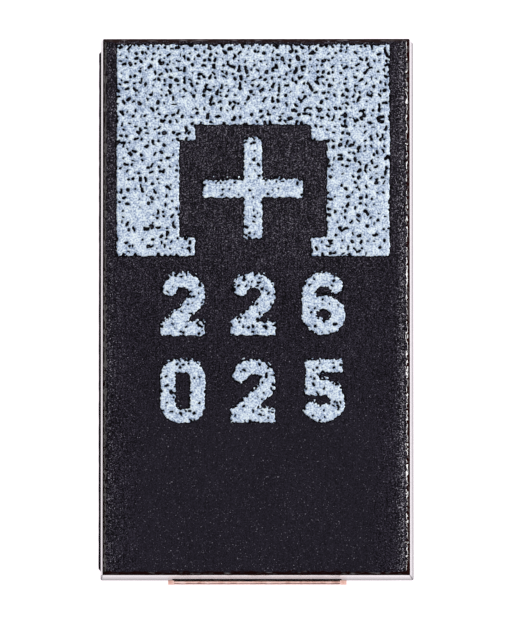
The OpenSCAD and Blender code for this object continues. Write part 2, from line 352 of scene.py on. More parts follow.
epoxyLook = {
    "dark": "#030205",        # resin between the filler grains
    "body": "#332F3C",        # resin where the filler lies just under the skin
    "warm": "#322B39",        # the binder is browner in places
    "grain": "#BCB8C4",       # silica filler that shows at the surface
    "edge": "#1E0706",        # painted dark red-brown shade along the arris
    "ior": 1.55,
    "grainSize": 0.017,       # mm, drawn about three times as coarse as real filler
    "warmSize": 0.04,         # mm between the browner places
    "cloudSize": 0.625,       # mm between the paler clouds
    "cloudShare": 0.08,       # their part in the tone, beside the grain
    "streakWidth": 0.022,     # mm, the mould's grinding marks
    "streakLength": 0.25,
    "streakShare": 0.2,
    "middleTone": 0.64,       # of grain, streaks and clouds together
    "evenContrast": 0.68,     # of the grain, where the moulding filled well
    "bareContrast": 2.6,      # and where the filler lies bare
    "bareSide": 1.5,          # mm from the middle, where it starts to lie bare beside the long edges
    "bareLength": (-1.8, 1.2),  # mm along the case, over which it does so towards the anode end
    "topRoughness": 0.22,
    "wallRoughness": 0.035,   # just under the top face, where the wall slides out of the mould
    "partingRoughness": 0.32,
    "cornerRoughness": 0.25,
    "scuffSize": 0.05,        # mm between the scuffs along the arris
    "scuffRoughness": 0.1,
    "rimWidth": 0.14,         # mm, where the flat crumbles towards the rounding, with painted glints
    "crumbleGlint": 0.155,         # how many more grains come loose there, painted brighter as glints
    "bumpDepth": 0.006,
    "wallBump": 0.03,         # strength of the relief on the walls
    "topBump": 0.36,          # and on the top face
}


wallLean = (topFace - partingHeight) * math.tan(math.radians(caseShape["draft"]))
flatHalfWidth = halfWidth - wallLean - arrisWidth(caseShape)


def epoxyMaterial(look):
    # Epoxy moulding compound, transfer moulded: near black and slightly violet, dull on top
    # with fine grinding marks from the mould, and smoother on the walls that slide out of it.
    material, tree, shader, place = startMaterial("mouldedEpoxy")
    grain = addNode(tree, "ShaderNodeTexNoise", {},
                    {"Vector": place, "Scale": 1 / look["grainSize"], "Detail": 2.0, "Roughness": 0.7})
    stretched = addNode(tree, "ShaderNodeVectorMath", "DIVIDE",
                        [place, (look["streakWidth"], look["streakLength"], 1.0)])
    streak = addNode(tree, "ShaderNodeTexNoise", {}, {"Vector": stretched, "Scale": 1.0, "Detail": 2.0})
    patch = addNode(tree, "ShaderNodeTexNoise", {},
                    {"Vector": place, "Scale": 1 / look["cloudSize"], "Detail": 2.0})
    tint = addNode(tree, "ShaderNodeTexNoise", {},
                   {"Vector": place, "Scale": 1 / look["warmSize"], "Detail": 1.0})
    # more filler shows towards the anode end and beside the long edges
    position = addNode(tree, "ShaderNodeSeparateXYZ", {}, [place], None)
    sideways = addNode(tree, "ShaderNodeMath", "ABSOLUTE", [position.outputs["X"]])
    nearEdge = addNode(tree, "ShaderNodeMapRange", {}, [sideways, look["bareSide"], flatHalfWidth])
    nearAnode = addNode(tree, "ShaderNodeMapRange", {}, [position.outputs["Y"], *look["bareLength"]])
    facing = addNode(tree, "ShaderNodeNewGeometry", output="Normal")
    normal = addNode(tree, "ShaderNodeSeparateXYZ", {}, [facing], None)
    # 1 where the surface lies level, 0 where it stands upright
    flatness = addNode(tree, "ShaderNodeMath", "ABSOLUTE", [normal.outputs["Z"]])
    level = addNode(tree, "ShaderNodeMapRange", {}, [flatness, 0.5, 0.9, 0.2, 1.0])
    widest = addNode(tree, "ShaderNodeMath", "MAXIMUM", [nearAnode, nearEdge])
    bare = addNode(tree, "ShaderNodeMath", "MULTIPLY", [widest, level])
    marks = addNode(tree, "ShaderNodeMath", "MULTIPLY_ADD", [streak, look["streakShare"], grain])
    cloud = addNode(tree, "ShaderNodeMath", "MULTIPLY_ADD", [patch, look["cloudShare"], marks])
    swing = addNode(tree, "ShaderNodeMath", "SUBTRACT", [cloud, look["middleTone"]])
    contrast = addNode(tree, "ShaderNodeMapRange", {},
                       [bare, 0.0, 1.0, look["evenContrast"], look["bareContrast"]])
    tone = addNode(tree, "ShaderNodeMath", "MULTIPLY_ADD", [swing, contrast, 0.5])
    isWarm = addNode(tree, "ShaderNodeMapRange", {}, [tint, 0.45, 0.6, 0.0, bare])
    body = addNode(tree, "ShaderNodeMix", {"data_type": "RGBA"},
                   {0: isWarm, 6: toLinear(look["body"]), 7: toLinear(look["warm"])}, 2)
    lit = addNode(tree, "ShaderNodeMapRange", {}, [tone, 0.32, 0.72])
    skin = addNode(tree, "ShaderNodeMix", {"data_type": "RGBA"},
                   {0: lit, 6: toLinear(look["dark"]), 7: body}, 2)
    # the flat crumbles towards its rim, and the crumbs get painted glints, brighter on the +X side where
    # the key light falls
    inFromRim = addNode(tree, "ShaderNodeMath", "SUBTRACT", [flatHalfWidth, sideways])
    onRim = addNode(tree, "ShaderNodeMapRange", {}, [inFromRim, look["rimWidth"], 0.0])
    # painted highlight: more crumbs glint on the +X side, towards the key light
    keyLitSide = addNode(tree, "ShaderNodeMapRange", {}, [position.outputs["X"], -1.0, 1.0, 0.5, 1.0])
    whole = addNode(tree, "ShaderNodeMapRange", {}, [inFromRim, -0.004, 0.012, -0.5, 1.0])
    broken = addNode(tree, "ShaderNodeMath", "MULTIPLY", [onRim, keyLitSide])
    crumbsAndGlint = addNode(tree, "ShaderNodeMath", "MULTIPLY", [broken, whole])
    loose = addNode(tree, "ShaderNodeMath", "MULTIPLY_ADD", [crumbsAndGlint, look["crumbleGlint"], grain])
    isCrumbGlint = addNode(tree, "ShaderNodeMapRange", {}, [loose, 0.68, 0.76, 0.0, 0.9])
    isBare = addNode(tree, "ShaderNodeMapRange", {}, [tone, 0.74, 1.3, 0.0, 0.8])
    shows = addNode(tree, "ShaderNodeMath", "MAXIMUM", [isCrumbGlint, isBare])
    grained = addNode(tree, "ShaderNodeMix", {"data_type": "RGBA"},
                      {0: shows, 6: skin, 7: toLinear(look["grain"])}, 2)
    # the arris gets a painted dark red-brown shade and is scuffed here and there, and each upright corner
    # is worn dull
    offWall = addNode(tree, "ShaderNodeMapRange", {}, [flatness, 0.3, 0.5])
    offTop = addNode(tree, "ShaderNodeMapRange", {}, [flatness, 0.97, 0.88])
    onArris = addNode(tree, "ShaderNodeMath", "MULTIPLY", [offWall, offTop])
    arrisShaded = addNode(tree, "ShaderNodeMix", {"data_type": "RGBA"},
                     {0: onArris, 6: grained, 7: toLinear(look["edge"])}, 2)
    tree.links.new(arrisShaded, shader.inputs["Base Color"])
    scuff = addNode(tree, "ShaderNodeTexNoise", {},
                    {"Vector": place, "Scale": 1 / look["scuffSize"], "Detail": 1.0})
    patchy = addNode(tree, "ShaderNodeMapRange", {}, [scuff, 0.52, 0.58, 0.0, look["scuffRoughness"]])
    scuffed = addNode(tree, "ShaderNodeMath", "MULTIPLY", [patchy, onArris])
    diagonal = addNode(tree, "ShaderNodeMath", "MULTIPLY", [normal.outputs["X"], normal.outputs["Y"]])
    turned = addNode(tree, "ShaderNodeMath", "ABSOLUTE", [diagonal])
    corner = addNode(tree, "ShaderNodeMapRange", {}, [turned, 0.15, 0.4, 0.0, look["cornerRoughness"]])
    # the walls are polished as they leave the mould, most of all next to the top face
    wall = addNode(tree, "ShaderNodeMapRange", {},
                   [position.outputs["Z"], partingHeight, topFace, look["partingRoughness"],
                    look["wallRoughness"]])
    isTop = addNode(tree, "ShaderNodeMapRange", {}, [flatness, 0.985, 0.999])
    dull = addNode(tree, "ShaderNodeMix", {"data_type": "FLOAT"},
                   {0: isTop, 2: wall, 3: look["topRoughness"]})
    worn = addNode(tree, "ShaderNodeMath", "ADD", [scuffed, corner])
    rough = addNode(tree, "ShaderNodeMath", "ADD", [dull, worn])
    tree.links.new(rough, shader.inputs["Roughness"])
    height = addNode(tree, "ShaderNodeMath", "MULTIPLY_ADD", [streak, 0.25, grain])
    onFlat = addNode(tree, "ShaderNodeMapRange", {},
                     [flatness, 0.97, 0.999, look["wallBump"], look["topBump"]])
    strength = addNode(tree, "ShaderNodeMath", "MULTIPLY", [onFlat, contrast])
    bump = addNode(tree, "ShaderNodeBump", {},
                   {"Height": height, "Strength": strength, "Distance": look["bumpDepth"] * metresPerMm})
    tree.links.new(bump, shader.inputs["Normal"])
    shader.inputs["IOR"].default_value = look["ior"]
    return material


epoxy = epoxyMaterial(epoxyLook)
caseMesh = cutTerminalRooms(buildCaseMesh(caseShape), caseShape)
mouldedCase = finishMesh("moulded_case", caseMesh, epoxy, ["case"], 30)
print("case moulded:", len(mouldedCase.data.polygons), "faces")


# The marking: a thin film of ink stamped on the top face, torn a little at its edges.
inkShape = {
    "cell": 0.014,           # mesh spacing of the print
    "thickness": 0.011,
    "rimShare": 0.55,        # how thick the ink still is at its torn edge
    "rimWidth": 0.02,        # over which it rises to its full thickness
    "relief": 0.0022,        # height of the lumps in the dried film
    "lumpSizes": (0.05, 0.022),
    "edgeWander": 0.013,     # how far an edge strays from the stencil's line
    "wanderSizes": (0.05, 0.021),
    "teeth": 0.02,           # length of the teeth that it pulled along each upper edge
    "toothWidth": 0.019,
    "pitSpacing": 0.084,     # a pinhole in most squares of this size
    "pitRadius": 0.017,
    "pitLength": 0.024,      # half the length of the longer pinholes
    "pitWander": 0.011,      # how far a pinhole's outline strays
    "pitWanderSize": 0.026,
    "leadingEdge": 0.05,     # the stripe along each upper edge where the ink breaks up
    "cornerRound": 0.0,
    "strays": 0.0,           # loose dots of ink just above each upper edge, 0 to 1
    "straySize": 0.026,
    "strayReach": 0.05,      # how far above the edge they lie
    "thinRim": 0.018,        # mm round each pinhole where the ink is thin enough to see through
    "haloReach": 0.0,
}
# the plus and the numerals are small: their pinholes are finer and crowd along the upper edges
smallPrint = {**inkShape, "cell": 0.01, "pitSpacing": 0.062, "pitRadius": 0.0148, "pitLength": 0.013,
              "edgeWander": 0.017, "leadingEdge": 0.13, "cornerRound": 0.03, "strays": 1.0,
              "pitShare": 0.3}
# painted dark halo: a near black film reaches this far past the ink, round the print and into its
# pinholes
paintedHaloShape = {"haloReach": 0.016, "thickness": 0.0012, "rimShare": 1.0, "relief": 0.0}


def latticeNoise(x, y, cell, seed):
    # smooth value noise from -1 to 1, the same on every run
    rng = np.random.default_rng(seed)
    size = 256
    lattice = rng.random((size, size)) * 2 - 1
    u, v = x / cell + 1000, y / cell + 1000
    i, j = np.floor(u).astype(int), np.floor(v).astype(int)
    fu, fv = u - i, v - j
    fu, fv = fu * fu * (3 - 2 * fu), fv * fv * (3 - 2 * fv)
    a, b = lattice[i % size, j % size], lattice[(i + 1) % size, j % size]
    c, d = lattice[i % size, (j + 1) % size], lattice[(i + 1) % size, (j + 1) % size]
    return (a * (1 - fu) + b * fu) * (1 - fv) + (c * (1 - fu) + d * fu) * fv


def boxDistance(x, y, low, high):
    # distance inside a rectangle, negative outside it
    return np.minimum(np.minimum(x - low[0], high[0] - x), np.minimum(y - low[1], high[1] - y))


def roundedDistance(x, y, halfX, halfY, radius):
    # distance inside a rectangle with rounded corners, round the origin
    qx, qy = np.abs(x) - halfX + radius, np.abs(y) - halfY + radius
    outside = np.hypot(np.maximum(qx, 0), np.maximum(qy, 0))
    return radius - outside - np.minimum(np.maximum(qx, qy), 0)


def strokeDistance(x, y, points, width):
    # distance inside a stroke drawn along the points, with square ends
    inside = np.full(x.shape, -1e9)
    for (ax, ay), (bx, by) in zip(points, points[1:]):
        length = math.hypot(bx - ax, by - ay)
        ux, uy = (bx - ax) / length, (by - ay) / length
        along = (x - ax) * ux + (y - ay) * uy
        across = np.abs((y - ay) * ux - (x - ax) * uy)
        bar = np.minimum(width / 2 - across, np.minimum(along, length - along))
        inside = np.maximum(inside, bar)
    for ax, ay in points[1:-1]:
        inside = np.maximum(inside, width / 2 - np.hypot(x - ax, y - ay))
    return inside


def pits(x, y, shape, amount, seed):
    # depth inside the pinholes: at most one short stroke in each square of a loose grid
    cell = shape["pitSpacing"]
    x = x + latticeNoise(x, y, shape["pitWanderSize"], seed + 1) * shape["pitWander"]
    y = y + latticeNoise(x, y, shape["pitWanderSize"], seed + 2) * shape["pitWander"]
    size = 128
    chance = np.random.default_rng(seed + 3).random((6, size, size))
    column, line = np.floor(x / cell).astype(int), np.floor(y / cell).astype(int)
    deepest = np.full(x.shape, -1.0)
    for di in (-1, 0, 1):
        for dj in (-1, 0, 1):
            drawn = chance[:, (column + di) % size, (line + dj) % size]
            shiftX, shiftY, turn, stretch, girth, luck = drawn
            # its middle keeps off the edges of its square
            offX = x - (column + di + 0.12 + 0.76 * shiftX) * cell
            offY = y - (line + dj + 0.12 + 0.76 * shiftY) * cell
            ux, uy = np.cos(turn * math.pi), np.sin(turn * math.pi)
            half = shape["pitLength"] * stretch ** 1.6
            along = np.clip(offX * ux + offY * uy, -half, half)
            away = np.hypot(offX - along * ux, offY - along * uy)
            depth = shape["pitRadius"] * (0.62 + 0.8 * girth) - away
            deepest = np.maximum(deepest, np.where(luck < amount, depth, -1.0))
    return deepest


def tornField(solidOf, shape, pitShare, seed):
    # distance inside the stencil's torn outline, and distance from the nearest pinhole
    def field(x, y):
        solid = solidOf(x, y)
        edge = shape["leadingEdge"]
        leading = np.clip(-solidOf(x, y + edge) / edge, 0, 1)
        coarse = latticeNoise(x, y, shape["wanderSizes"][0], seed + 5)
        fine = latticeNoise(x, y, shape["wanderSizes"][1], seed + 6)
        teeth = (latticeNoise(x, y * 0.4, shape["toothWidth"], seed + 9) - 0.2) * leading
        torn = (coarse * 0.4 + fine * 0.9) * shape["edgeWander"] + teeth * shape["teeth"]
        outline = solid + torn
        justAbove = (solid < 0) & (solidOf(x, y - shape["strayReach"]) > 0)
        stray = (latticeNoise(x, y, shape["straySize"], seed + 12) - 0.5) * 0.04
        outline = np.maximum(outline, np.where(justAbove & (shape["strays"] > 0), stray, -1.0))
        return outline, -pits(x, y, shape, pitShare(y) + 0.4 * leading, seed)

    return field


def contourCells(field):
    # marching squares: the polygon that the ink fills in each cell of the grid.
    # A corner is (i, j, 0); a crossing on the edge towards +i or +j is (i, j, 1) or (i, j, 2).
    inside = field > 0
    full = inside[:-1, :-1] & inside[1:, :-1] & inside[1:, 1:] & inside[:-1, 1:]
    some = inside[:-1, :-1] | inside[1:, :-1] | inside[1:, 1:] | inside[:-1, 1:]
    polygons = []
    for i, j in zip(*np.nonzero(some)):
        if full[i, j]:
            polygons.append([(i, j, 0), (i + 1, j, 0), (i + 1, j + 1, 0), (i, j + 1, 0)])
            continue
        corners = ((i, j), (i + 1, j), (i + 1, j + 1), (i, j + 1))
        edges = ((i, j, 1), (i + 1, j, 2), (i, j + 1, 1), (i, j, 2))
        outline = []
        for k in range(4):
            here, there = inside[corners[k]], inside[corners[(k + 1) % 4]]
            if here:
                outline.append((*corners[k], 0))
            if here != there:
                outline.append(edges[k])
        polygons.append(outline)
    return polygons


def inkMesh(name, shape, low, high, fieldOf, surface, seed):
    # a dried film of ink: the field says where it lies, and its top is slightly lumpy
    cell = shape["cell"]
    xs = np.arange(low[0] - 3 * cell, high[0] + 3 * cell, cell)
    ys = np.arange(low[1] - 3 * cell, high[1] + 3 * cell, cell)
    x, y = np.meshgrid(xs, ys, indexing="ij")
    outline, fromPit = fieldOf(x, y)
    # the painted halo's film reaches past the ink's outline, round the print and into its pinholes
    field = np.minimum(outline, fromPit) + shape["haloReach"]
    field[np.abs(field) < 1e-5] = 1e-5
    thin = np.clip(1 - fromPit / shape["thinRim"], 0, 1)
    polygons = contourCells(field)
    wide, narrow = shape["lumpSizes"]
    lumps = latticeNoise(x, y, wide, seed + 7) + latticeNoise(x, y, narrow, seed + 8) * 0.7
    index, vertices, thinness = {}, [], []

    def vertexOf(key):
        if key not in index:
            i, j, kind = key
            if kind == 0:
                rise = min(1.0, shape["rimShare"] + field[i, j] / shape["rimWidth"])
                height = shape["thickness"] * rise + lumps[i, j] * shape["relief"]
                px, py = xs[i], ys[j]
            else:
                i2, j2 = (i + 1, j) if kind == 1 else (i, j + 1)
                share = min(0.97, max(0.03, field[i, j] / (field[i, j] - field[i2, j2])))
                px, py = xs[i] + share * (xs[i2] - xs[i]), ys[j] + share * (ys[j2] - ys[j])
                height = shape["thickness"] * shape["rimShare"]
            index[key] = len(vertices)
            vertices.append((px, py, surface + height))
            thinness.append(thin[i, j])
        return index[key]

    top = [[vertexOf(key) for key in outline] for outline in polygons]
    count = len(vertices)
    vertices += [(px, py, surface - 0.001) for px, py, _ in vertices]
    faces = [tuple(f) for f in top] + [tuple(v + count for v in reversed(f)) for f in top]
    isCrossing = {v for key, v in index.items() if key[2]}
    for f in top:
        for a, b in zip(f, f[1:] + f[:1]):
            if a in isCrossing and b in isCrossing:
                faces.append((b, a, a + count, b + count))
    mesh = bpy.data.meshes.new(name)
    mesh.from_pydata(vertices, [], faces)
    mesh.attributes.new("thinInk", "FLOAT", "POINT").data.foreach_set("value", thinness * 2)
    return mesh


def bandField(shape):
    # the stepped outline comes from the solid's own corners
    west, windowWest, notchWest, notchEast, windowEast, east = cadLevels("polarity_band", 0)
    south, footTop, crownNotch, crown, north = cadLevels("polarity_band", 1)

    def solid(x, y):
        outer = boxDistance(x, y, (west, south), (east, north))
        narrow = boxDistance(x, y, (notchWest, south - 1), (notchEast, crown))
        wide = boxDistance(x, y, (windowWest, footTop), (windowEast, crownNotch))
        return np.minimum(outer, -np.maximum(narrow, wide))

    def pitShare(y):
        return np.interp(y, (south, crown, north), (0.5, 0.8, 1.0))

    return (west, south), (east, north), tornField(solid, shape, pitShare, 11)


def plusField(shape):
    west, barWest, barEast, east = cadLevels("plus_sign", 0)
    south, barSouth, barNorth, north = cadLevels("plus_sign", 1)
    middleX, middleY = (west + east) / 2, (south + north) / 2
    radius = shape["cornerRound"]

    def solid(x, y):
        px, py = x - middleX, y - middleY
        upright = roundedDistance(px, py, (barEast - barWest) / 2, (north - south) / 2, radius)
        level = roundedDistance(px, py, (east - west) / 2, (barNorth - barSouth) / 2, radius)
        return np.maximum(upright, level)

    return (west, south), (east, north), tornField(solid, shape, lambda y: shape["pitShare"], 23)


numerals = {
    "rows": ["226", "025"],       # plain numbers; the digits drawn below are 0, 2, 5 and 6
    "firstColumn": -0.985,        # middle of the left numeral
    "columnStep": 0.945,
    "firstRow": 0.035,            # middle of the upper row
    "rowStep": 1.165,
    "width": 0.59,
    "height": 0.84,
    "stroke": 0.195,
    "corner": 0.24,               # rounding of the nought's outline
    "holeCorner": 0.07,
}


def arcPoints(cx, cy, rx, ry, fromAngle, toAngle, steps=16):
    angles = np.radians(np.linspace(fromAngle, toAngle, steps))
    return [(cx + rx * math.cos(a), cy + ry * math.sin(a)) for a in angles]


def numeralDistance(digit, x, y, look):
    # distance inside a bold numeral round the origin
    stroke, halfX, halfY = look["stroke"], look["width"] / 2, look["height"] / 2
    w, h = halfX - stroke / 2, halfY - stroke / 2
    outline = boxDistance(x, y, (-halfX, -halfY), (halfX, halfY))
    if digit == "0":
        hole = roundedDistance(x, y, halfX - stroke, halfY - 0.9 * stroke, look["holeCorner"])
        return np.minimum(roundedDistance(x, y, halfX, halfY, look["corner"]), -hole)
    if digit == "2":
        swan = arcPoints(0, h - w, w, w, 168, -32) + [(-w - 0.06, -h - 0.06)]
        foot = boxDistance(x, y, (-halfX, -halfY), (halfX, -halfY + 0.9 * stroke))
        return np.minimum(outline, np.maximum(strokeDistance(x, y, swan, stroke), foot))
    if digit == "5":
        lower = arcPoints(-0.01, -h + w * 0.93, w, w * 0.93, 118, -155, 20)
        flag = boxDistance(x, y, (-0.8 * halfX, halfY - 0.9 * stroke), (0.85 * halfX, halfY))
        stem = strokeDistance(x, y, [(-0.66 * w, halfY), (-0.84 * w, -0.06)], 0.95 * stroke)
        upper = np.maximum(flag, np.minimum(stem, outline))
        return np.maximum(upper, strokeDistance(x, y, lower, stroke))
    # a six
    bowl = 0.86 * w
    ring = arcPoints(0, -h + bowl, w, bowl, 0, 360, 30)
    hook = arcPoints(0, h - bowl, w, bowl, 18, 180) + [(-w, -h + bowl)]
    bar = 0.92 * stroke
    return np.maximum(strokeDistance(x, y, ring, bar), strokeDistance(x, y, hook, bar))


def numeralField(digit, middleX, middleY, shape, look, seed):
    def solid(x, y):
        return numeralDistance(digit, x - middleX, y - middleY, look)

    low = (middleX - look["width"] / 2, middleY - look["height"] / 2)
    high = (middleX + look["width"] / 2, middleY + look["height"] / 2)
    return low, high, tornField(solid, shape, lambda y: shape["pitShare"], seed)


inkLook = {
    # from the hollows of the film to its lumps, each with its place in the mottled tone
    "ramp": ((0.52, "#8094B6"), (0.66, "#C6D5EC"), (0.83, "#F1FCFF")),
    "thin": "#466489",        # the resin darkens the film where it is thin
    "thinShare": 0.5,         # by this much at the rim of a pinhole
    "mottleSize": 0.024,      # mm between the darker spots of the film
    "cloudSize": 0.09,        # and between its slightly thinner patches
    "cloudShare": 0.35,       # their part in the tone, beside the spots
    "roughness": 0.55,
    "ior": 1.5,
    "bumpDepth": 0.004,
}


def inkMaterial(look):
    # Epoxy marking ink, stamped and baked: bluish white, matte, thin enough to look mottled.
    material, tree, shader, place = startMaterial("markingInk")
    mottle = addNode(tree, "ShaderNodeTexNoise", {},
                     {"Vector": place, "Scale": 1 / look["mottleSize"], "Detail": 2.0, "Roughness": 0.55})
    cloud = addNode(tree, "ShaderNodeTexNoise", {},
                    {"Vector": place, "Scale": 1 / look["cloudSize"], "Detail": 1.0})
    uneven = addNode(tree, "ShaderNodeMath", "MULTIPLY_ADD", [cloud, look["cloudShare"], mottle])
    colour = addNode(tree, "ShaderNodeValToRGB", {}, [uneven], None)
    stops = colour.color_ramp.elements
    for position, tone in look["ramp"]:
        stops.new(position).color = toLinear(tone)
    stops.remove(stops[0])
    stops.remove(stops[-1])
    thin = addNode(tree, "ShaderNodeAttribute", {"attribute_name": "thinInk"}, output="Fac")
    thinShare = addNode(tree, "ShaderNodeMath", "MULTIPLY", [thin, look["thinShare"]])
    film = addNode(tree, "ShaderNodeMix", {"data_type": "RGBA"},
                   {0: thinShare, 6: colour.outputs["Color"], 7: toLinear(look["thin"])}, 2)
    tree.links.new(film, shader.inputs["Base Color"])
    shader.inputs["Roughness"].default_value = look["roughness"]
    shader.inputs["IOR"].default_value = look["ior"]
    bump = addNode(tree, "ShaderNodeBump", {},
                   {"Height": mottle, "Strength": 0.6, "Distance": look["bumpDepth"] * metresPerMm})
    tree.links.new(bump, shader.inputs["Normal"])
    return material


# painted dark halo round the print and in its pinholes
paintedHaloLook = {
    "body": "#050408",
    "roughness": (0.1, 0.3),  # of its glossier and its duller blotches
    "blotchSize": 0.04,
    "ior": 1.5,
}


def paintedHaloMaterial(look):
    # Painted dark halo: a near black, glossy film that turns the resin blacker round the print
    # and inside its pinholes.
    material, tree, shader, place = startMaterial("paintedInkHalo")
    blotch = addNode(tree, "ShaderNodeTexNoise", {},
                     {"Vector": place, "Scale": 1 / look["blotchSize"], "Detail": 2.0})
    rough = addNode(tree, "ShaderNodeMapRange", {}, [blotch, 0.3, 0.7, *look["roughness"]])
    tree.links.new(rough, shader.inputs["Roughness"])
    shader.inputs["Base Color"].default_value = toLinear(look["body"])
    shader.inputs["IOR"].default_value = look["ior"]
    return material


ink = inkMaterial(inkLook)
paintedHalo = paintedHaloMaterial(paintedHaloLook)


def printPiece(name, shape, low, high, field, seed, replaced):
    # the ink itself, and under it a slightly wider near black film, a painted dark halo round the print
    # and in its pinholes
    film = inkMesh(name, shape, low, high, field, topFace, seed)
    finishMesh(name, film, ink, replaced, 60)
    haloFilm = inkMesh(name + "_paintedHalo", {**shape, **paintedHaloShape}, low, high, field, topFace, seed)
    finishMesh(name + "_paintedHalo", haloFilm, paintedHalo, [], 60)
    print("printed", name, len(film.polygons) + len(haloFilm.polygons), "faces")


printPiece("printed_band", inkShape, *bandField(inkShape), 11, ["polarity_band"])
printPiece("printed_plus", smallPrint, *plusField(smallPrint), 23, ["plus_sign"])
for rowNumber, row in enumerate(numerals["rows"]):
    for columnNumber, digit in enumerate(row):
        middleX = numerals["firstColumn"] + columnNumber * numerals["columnStep"]
        middleY = numerals["firstRow"] - rowNumber * numerals["rowStep"]
        seed = 40 + 10 * (3 * rowNumber + columnNumber)
        pieceName = "numeral_%d_%d" % (rowNumber + 1, columnNumber + 1)
        field = numeralField(digit, middleX, middleY, smallPrint, numerals, seed)
        printPiece(pieceName, smallPrint, *field, seed, [])
print("numerals printed")


# The terminals: both are cut from one strip of copper alloy.
copperLook = {
    # from the tarnished hollows to the bright rolled skin, each with its place in the tone
    "ramp": ((0.42, "#B07F70"), (0.68, "#E8BFAF"), (0.95, "#F7DDD2")),
    "cloudSize": 0.12,        # mm between the duller clouds
    "rollWidth": 0.03,        # mm between the strip's rolling marks
    "rollLength": 0.8,
    "rollShare": 0.5,         # their part in the tone, beside the clouds
    "bendShade": "#42190F",      # painted shade along the bend
    "bendShadeHeight": 1.312,    # mm above the board
    "bendShadeWidth": 0.014,
    "bendShadeWaver": 0.05,      # mm that it strays at most
    "bendShadeShare": 0.85,      # how far it hides the metal's own colour
    "roughness": 0.3,
    "bumpDepth": 0.003,
}


def copperMaterial(look):
    # Copper alloy strip, rolled, stamped and folded: warm pink and satin, with a line of painted shade
    # along the bend.
    material, tree, shader, place = startMaterial("copperAlloyStrip")
    stretched = addNode(tree, "ShaderNodeVectorMath", "DIVIDE",
                        [place, (look["rollWidth"], look["rollLength"], look["rollLength"])])
    rolled = addNode(tree, "ShaderNodeTexNoise", {}, {"Vector": stretched, "Scale": 1.0, "Detail": 3.0})
    cloudy = addNode(tree, "ShaderNodeTexNoise", {},
                     {"Vector": place, "Scale": 1 / look["cloudSize"], "Detail": 3.0})
    both = addNode(tree, "ShaderNodeMath", "MULTIPLY_ADD", [rolled, look["rollShare"], cloudy])
    colour = addNode(tree, "ShaderNodeValToRGB", {}, [both], None)
    stops = colour.color_ramp.elements
    for position, tone in look["ramp"]:
        stops.new(position).color = toLinear(tone)
    stops.remove(stops[0])
    stops.remove(stops[-1])
    # the painted shade along the bend wavers a little across it
    height = addNode(tree, "ShaderNodeSeparateXYZ", {}, [place], "Z")
    waver = addNode(tree, "ShaderNodeMath", "MULTIPLY_ADD", [cloudy, look["bendShadeWaver"], height])
    offset = addNode(tree, "ShaderNodeMath", "SUBTRACT",
                     [waver, look["bendShadeHeight"] + look["bendShadeWaver"] / 2])
    apart = addNode(tree, "ShaderNodeMath", "ABSOLUTE", [offset])
    onBendShade = addNode(tree, "ShaderNodeMapRange", {},
                       [apart, look["bendShadeWidth"], look["bendShadeWidth"] * 1.5, look["bendShadeShare"], 0.0])
    bendShaded = addNode(tree, "ShaderNodeMix", {"data_type": "RGBA"},
                     {0: onBendShade, 6: colour.outputs["Color"], 7: toLinear(look["bendShade"])}, 2)
    tree.links.new(bendShaded, shader.inputs["Base Color"])
    shader.inputs["Metallic"].default_value = 1.0
    rough = addNode(tree, "ShaderNodeMath", "MULTIPLY_ADD", [cloudy, 0.2, look["roughness"] - 0.1])
    tree.links.new(rough, shader.inputs["Roughness"])
    bump = addNode(tree, "ShaderNodeBump", {},
                   {"Height": both, "Strength": 0.5, "Distance": look["bumpDepth"] * metresPerMm})
    tree.links.new(bump, shader.inputs["Normal"])
    return material


copper = copperMaterial(copperLook)
for node in ("anode_lead", "cathode_lead"):
    dress(node, copper)
print("terminals dressed")


def mottledMaterial(name, look):
    # two tones in grains of one size, drawn out along one axis where the surface was worked
    material, tree, shader, place = startMaterial(name)
    drawn = addNode(tree, "ShaderNodeVectorMath", "DIVIDE", [place, look["grain"]])
    grain = addNode(tree, "ShaderNodeTexNoise", {},
                    {"Vector": drawn, "Scale": 1.0, "Detail": 3.0, "Roughness": 0.65})
    tone = addNode(tree, "ShaderNodeMapRange", {}, [grain, 0.38, 0.62])
    colour = addNode(tree, "ShaderNodeMix", {"data_type": "RGBA"},
                     {0: tone, 6: toLinear(look["dark"]), 7: toLinear(look["light"])}, 2)
    tree.links.new(colour, shader.inputs["Base Color"])
    rough = addNode(tree, "ShaderNodeMapRange", {},
                    [grain, 0.3, 0.7, look["roughness"] - 0.1, look["roughness"] + 0.1])
    tree.links.new(rough, shader.inputs["Roughness"])
    bump = addNode(tree, "ShaderNodeBump", {},
                   {"Height": grain, "Strength": 0.7, "Distance": look["bumpDepth"] * metresPerMm})
    tree.links.new(bump, shader.inputs["Normal"])
    shader.inputs["Metallic"].default_value = look["metallic"]
    if "ior" in look:
        shader.inputs["IOR"].default_value = look["ior"]
    return material


# Tantalum powder, pressed and sintered: a dark grey sponge, matt, its pores blacker still.
pelletLook = {"dark": "#2E2F33", "light": "#77787D", "grain": (0.012, 0.012, 0.012),
              "roughness": 0.7, "bumpDepth": 0.004, "metallic": 1.0}

# Tantalum wire, drawn: bluish grey metal with fine lines along it.
wireLook = {"dark": "#7D8189", "light": "#A9ADB4", "grain": (0.008, 0.4, 0.008),
            "roughness": 0.32, "bumpDepth": 0.001, "metallic": 1.0}

# PTFE, skived into sheet and punched: waxy white with faint knife lines.
washerLook = {"dark": "#DEDFDC", "light": "#F4F5F3", "grain": (0.2, 0.012, 0.012),
              "roughness": 0.42, "bumpDepth": 0.001, "metallic": 0.0, "ior": 1.35}

# Conductive polymer, grown from solution: a blue black skin with a slight gloss.
polymerLook = {"dark": "#0B0D14", "light": "#1D2231", "grain": (0.03, 0.03, 0.03),
               "roughness": 0.38, "bumpDepth": 0.002, "metallic": 0.0, "ior": 1.5}

